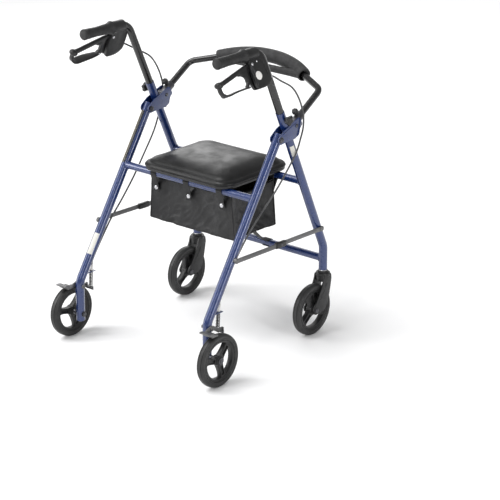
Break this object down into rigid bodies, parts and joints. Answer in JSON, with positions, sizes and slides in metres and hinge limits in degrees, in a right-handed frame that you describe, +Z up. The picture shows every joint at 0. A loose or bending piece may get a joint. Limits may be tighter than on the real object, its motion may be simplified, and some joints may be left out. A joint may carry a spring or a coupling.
{
  "type": "rollator walker",
  "caption": "Folding rollator walker on four wheels with padded flip-up seat, bag, curved backrest, height-adjustable handles and loop hand brakes.",
  "frame": {"origin": "on the floor under the middle of the frame", "axes": "+X to the user's right, +Y forward (the way it is pushed), +Z up"},
  "size_m": [0.5962, 0.6477, 0.9085],
  "materials": {
    "frame_blue": "glossy metallic royal blue paint",
    "black_tube": "gloss black coated tube",
    "black_plastic": "satin black plastic",
    "grip_rubber": "ribbed soft rubber",
    "grey_metal": "dull grey plated steel",
    "pivot_steel": "dull grey plated steel",
    "bright_steel": "bright plated steel",
    "tyre_rubber": "dark solid rubber tyre",
    "foam": "dark grey closed-cell foam",
    "vinyl": "black satin vinyl",
    "nylon": "black woven nylon",
    "cable_sheath": "dark grey cable sheath"
  },
  "bodies": {
    "front_frame": {"front_leg_right": "frame_blue", "side_bracket_right": "frame_blue", "pivot_bolt_right": "pivot_steel", "socket_pin_right": "bright_steel", "brake_cable_right": "cable_sheath", "front_leg_left": "frame_blue", "side_bracket_left": "frame_blue", "pivot_bolt_left": "pivot_steel", "socket_pin_left": "bright_steel", "brake_cable_left": "cable_sheath", "front_seat_tube": "frame_blue", "front_lower_tube": "frame_blue", "bag": "nylon"},
    "rear_frame": {"rear_leg_right": "frame_blue", "rear_axle_right": "bright_steel", "brake_spring_right": "bright_steel", "rear_leg_left": "frame_blue", "rear_axle_left": "bright_steel", "brake_spring_left": "bright_steel", "rear_seat_tube": "frame_blue"},
    "seat": {"seat_base": "black_plastic", "seat_cushion": "vinyl"},
    "backrest": {"backrest_tube": "black_tube", "backrest_pad": "foam", "backrest_socket_right": "grey_metal", "backrest_socket_left": "grey_metal"},
    "handle_right": {"handle_tube_right": "black_tube", "grip_right": "grip_rubber", "brake_housing_right": "black_plastic"},
    "brake_pivot_right": {"lever_pin_right": "bright_steel"},
    "brake_lever_right": {"brake_lever_right": "black_plastic"},
    "brake_arm_right": {"brake_arm_right": "grey_metal"},
    "height_knob_right": {"height_knob_right": "black_plastic"},
    "lock_knob_right": {"backrest_lock_knob_right": "black_plastic"},
    "release_pin_right": {"backrest_release_pin_right": "black_plastic"},
    "brace_front_right": {"brace_front_right": "grey_metal"},
    "brace_rear_right": {"brace_rear_right": "grey_metal"},
    "rear_wheel_right": {"rear_tyre_right": "tyre_rubber", "rear_wheel_right": "black_plastic"},
    "caster_right": {"caster_fork_right": "black_plastic", "front_axle_right": "bright_steel"},
    "front_wheel_right": {"front_tyre_right": "tyre_rubber", "front_wheel_right": "black_plastic"},
    "handle_left": {"handle_tube_left": "black_tube", "grip_left": "grip_rubber", "brake_housing_left": "black_plastic"},
    "brake_pivot_left": {"lever_pin_left": "bright_steel"},
    "brake_lever_left": {"brake_lever_left": "black_plastic"},
    "brake_arm_left": {"brake_arm_left": "grey_metal"},
    "height_knob_left": {"height_knob_left": "black_plastic"},
    "lock_knob_left": {"backrest_lock_knob_left": "black_plastic"},
    "release_pin_left": {"backrest_release_pin_left": "black_plastic"},
    "brace_front_left": {"brace_front_left": "grey_metal"},
    "brace_rear_left": {"brace_rear_left": "grey_metal"},
    "rear_wheel_left": {"rear_tyre_left": "tyre_rubber", "rear_wheel_left": "black_plastic"},
    "caster_left": {"caster_fork_left": "black_plastic", "front_axle_left": "bright_steel"},
    "front_wheel_left": {"front_tyre_left": "tyre_rubber", "front_wheel_left": "black_plastic"}
  },
  "joints": [
    {"name": "rear_fold", "type": "hinge", "parent": "front_frame", "child": "rear_frame", "pos_m": [0, 0.0417, 0.6267], "axis": [1, 0, 0], "range_deg": [0, 34], "deforming": ["bag", "brake_cable_right", "brake_cable_left"]},
    {"name": "seat_flip", "type": "hinge", "parent": "front_frame", "child": "seat", "pos_m": [0, 0.1541, 0.478], "axis": [-1, 0, 0], "range_deg": [0, 85]},
    {"name": "backrest_fold", "type": "hinge", "parent": "front_frame", "child": "backrest", "pos_m": [0, 0.108, 0.654], "axis": [1, 0, 0], "range_deg": [-60, 45]},
    {"name": "brace_front_right", "type": "hinge", "parent": "front_frame", "child": "brace_front_right", "pos_m": [0.2588, 0.2245, 0.322], "axis": [1, 0, 0], "range_deg": [-44.2, 0]},
    {"name": "brace_rear_right", "type": "hinge", "parent": "rear_frame", "child": "brace_rear_right", "pos_m": [0.2588, -0.1505, 0.33], "axis": [1, 0, 0], "range_deg": [0, 43.6]},
    {"name": "handle_height_right", "type": "slide", "parent": "front_frame", "child": "handle_right", "axis": [0, -0.4114, 0.9114], "range_m": [-0.1, 0.05]},
    {"name": "brake_park_right", "type": "hinge", "parent": "handle_right", "child": "brake_pivot_right", "pos_m": [0.2554, -0.088, 0.8645], "axis": [-0.9063, 0, -0.4226], "range_deg": [-15, 0]},
    {"name": "brake_squeeze_right", "type": "hinge", "parent": "brake_pivot_right", "child": "brake_lever_right", "pos_m": [0.2554, -0.088, 0.8645], "axis": [-0.9063, 0, -0.4226], "range_deg": [0, 5.5], "stiffness_Nm_per_rad": 1.5, "springref_deg": -5.73},
    {"name": "brake_arm_right", "type": "hinge", "parent": "rear_frame", "child": "brake_arm_right", "pos_m": [0.244, -0.2524, 0.162], "axis": [1, 0, 0], "range_deg": [0, 7.7], "deforming": ["brake_spring_right"]},
    {"name": "height_knob_right", "type": "hinge", "parent": "front_frame", "child": "height_knob_right", "pos_m": [0.244, 0.0629, 0.68], "axis": [1, 0, 0], "range_deg": [-360, 0]},
    {"name": "backrest_lock_right", "type": "hinge", "parent": "backrest", "child": "lock_knob_right", "pos_m": [0.244, 0.1319, 0.6689], "axis": [0, -0.5284, 0.849], "range_deg": [0, 360]},
    {"name": "backrest_release_right", "type": "slide", "parent": "front_frame", "child": "release_pin_right", "axis": [0, 0, -1], "range_m": [0, 0.004], "stiffness_N_per_m": 400, "springref_m": -0.003},
    {"name": "rear_wheel_spin_right", "type": "hinge", "parent": "rear_frame", "child": "rear_wheel_right", "pos_m": [0.282, -0.253, 0.0762], "axis": [1, 0, 0], "continuous": true},
    {"name": "caster_swivel_right", "type": "hinge", "parent": "front_frame", "child": "caster_right", "pos_m": [0.244, 0.2534, 0.17], "axis": [0, 0, 1], "continuous": true},
    {"name": "front_wheel_spin_right", "type": "hinge", "parent": "caster_right", "child": "front_wheel_right", "pos_m": [0.244, 0.2021, 0.0762], "axis": [1, 0, 0], "continuous": true},
    {"name": "brace_front_left", "type": "hinge", "parent": "front_frame", "child": "brace_front_left", "pos_m": [-0.2588, 0.2245, 0.322], "axis": [1, 0, 0], "range_deg": [-44.2, 0]},
    {"name": "brace_rear_left", "type": "hinge", "parent": "rear_frame", "child": "brace_rear_left", "pos_m": [-0.2588, -0.1505, 0.33], "axis": [1, 0, 0], "range_deg": [0, 43.6]},
    {"name": "handle_height_left", "type": "slide", "parent": "front_frame", "child": "handle_left", "axis": [0, -0.4114, 0.9114], "range_m": [-0.1, 0.05]},
    {"name": "brake_park_left", "type": "hinge", "parent": "handle_left", "child": "brake_pivot_left", "pos_m": [-0.2554, -0.088, 0.8645], "axis": [-0.9063, 0, 0.4226], "range_deg": [-15, 0]},
    {"name": "brake_squeeze_left", "type": "hinge", "parent": "brake_pivot_left", "child": "brake_lever_left", "pos_m": [-0.2554, -0.088, 0.8645], "axis": [-0.9063, 0, 0.4226], "range_deg": [0, 5.5], "stiffness_Nm_per_rad": 1.5, "springref_deg": -5.73},
    {"name": "brake_arm_left", "type": "hinge", "parent": "rear_frame", "child": "brake_arm_left", "pos_m": [-0.244, -0.2524, 0.162], "axis": [1, 0, 0], "range_deg": [0, 7.7], "deforming": ["brake_spring_left"]},
    {"name": "height_knob_left", "type": "hinge", "parent": "front_frame", "child": "height_knob_left", "pos_m": [-0.244, 0.0629, 0.68], "axis": [-1, 0, 0], "range_deg": [-360, 0]},
    {"name": "backrest_lock_left", "type": "hinge", "parent": "backrest", "child": "lock_knob_left", "pos_m": [-0.244, 0.1319, 0.6689], "axis": [0, -0.5284, 0.849], "range_deg": [0, 360]},
    {"name": "backrest_release_left", "type": "slide", "parent": "front_frame", "child": "release_pin_left", "axis": [0, 0, -1], "range_m": [0, 0.004], "stiffness_N_per_m": 400, "springref_m": -0.003},
    {"name": "rear_wheel_spin_left", "type": "hinge", "parent": "rear_frame", "child": "rear_wheel_left", "pos_m": [-0.282, -0.253, 0.0762], "axis": [1, 0, 0], "continuous": true},
    {"name": "caster_swivel_left", "type": "hinge", "parent": "front_frame", "child": "caster_left", "pos_m": [-0.244, 0.2534, 0.17], "axis": [0, 0, 1], "continuous": true},
    {"name": "front_wheel_spin_left", "type": "hinge", "parent": "caster_left", "child": "front_wheel_left", "pos_m": [-0.244, 0.2021, 0.0762], "axis": [1, 0, 0], "continuous": true}
  ],
  "couplings": [
    {"joint": "brace_front_right", "follows": "rear_fold", "ratio": -1.2982},
    {"joint": "brace_rear_right", "follows": "rear_fold", "ratio": 1.2797},
    {"joint": "brake_arm_right", "follows": "brake_squeeze_right", "ratio": 1.4},
    {"joint": "brace_front_left", "follows": "rear_fold", "ratio": -1.2982},
    {"joint": "brace_rear_left", "follows": "rear_fold", "ratio": 1.2797},
    {"joint": "brake_arm_left", "follows": "brake_squeeze_left", "ratio": 1.4}
  ]
}
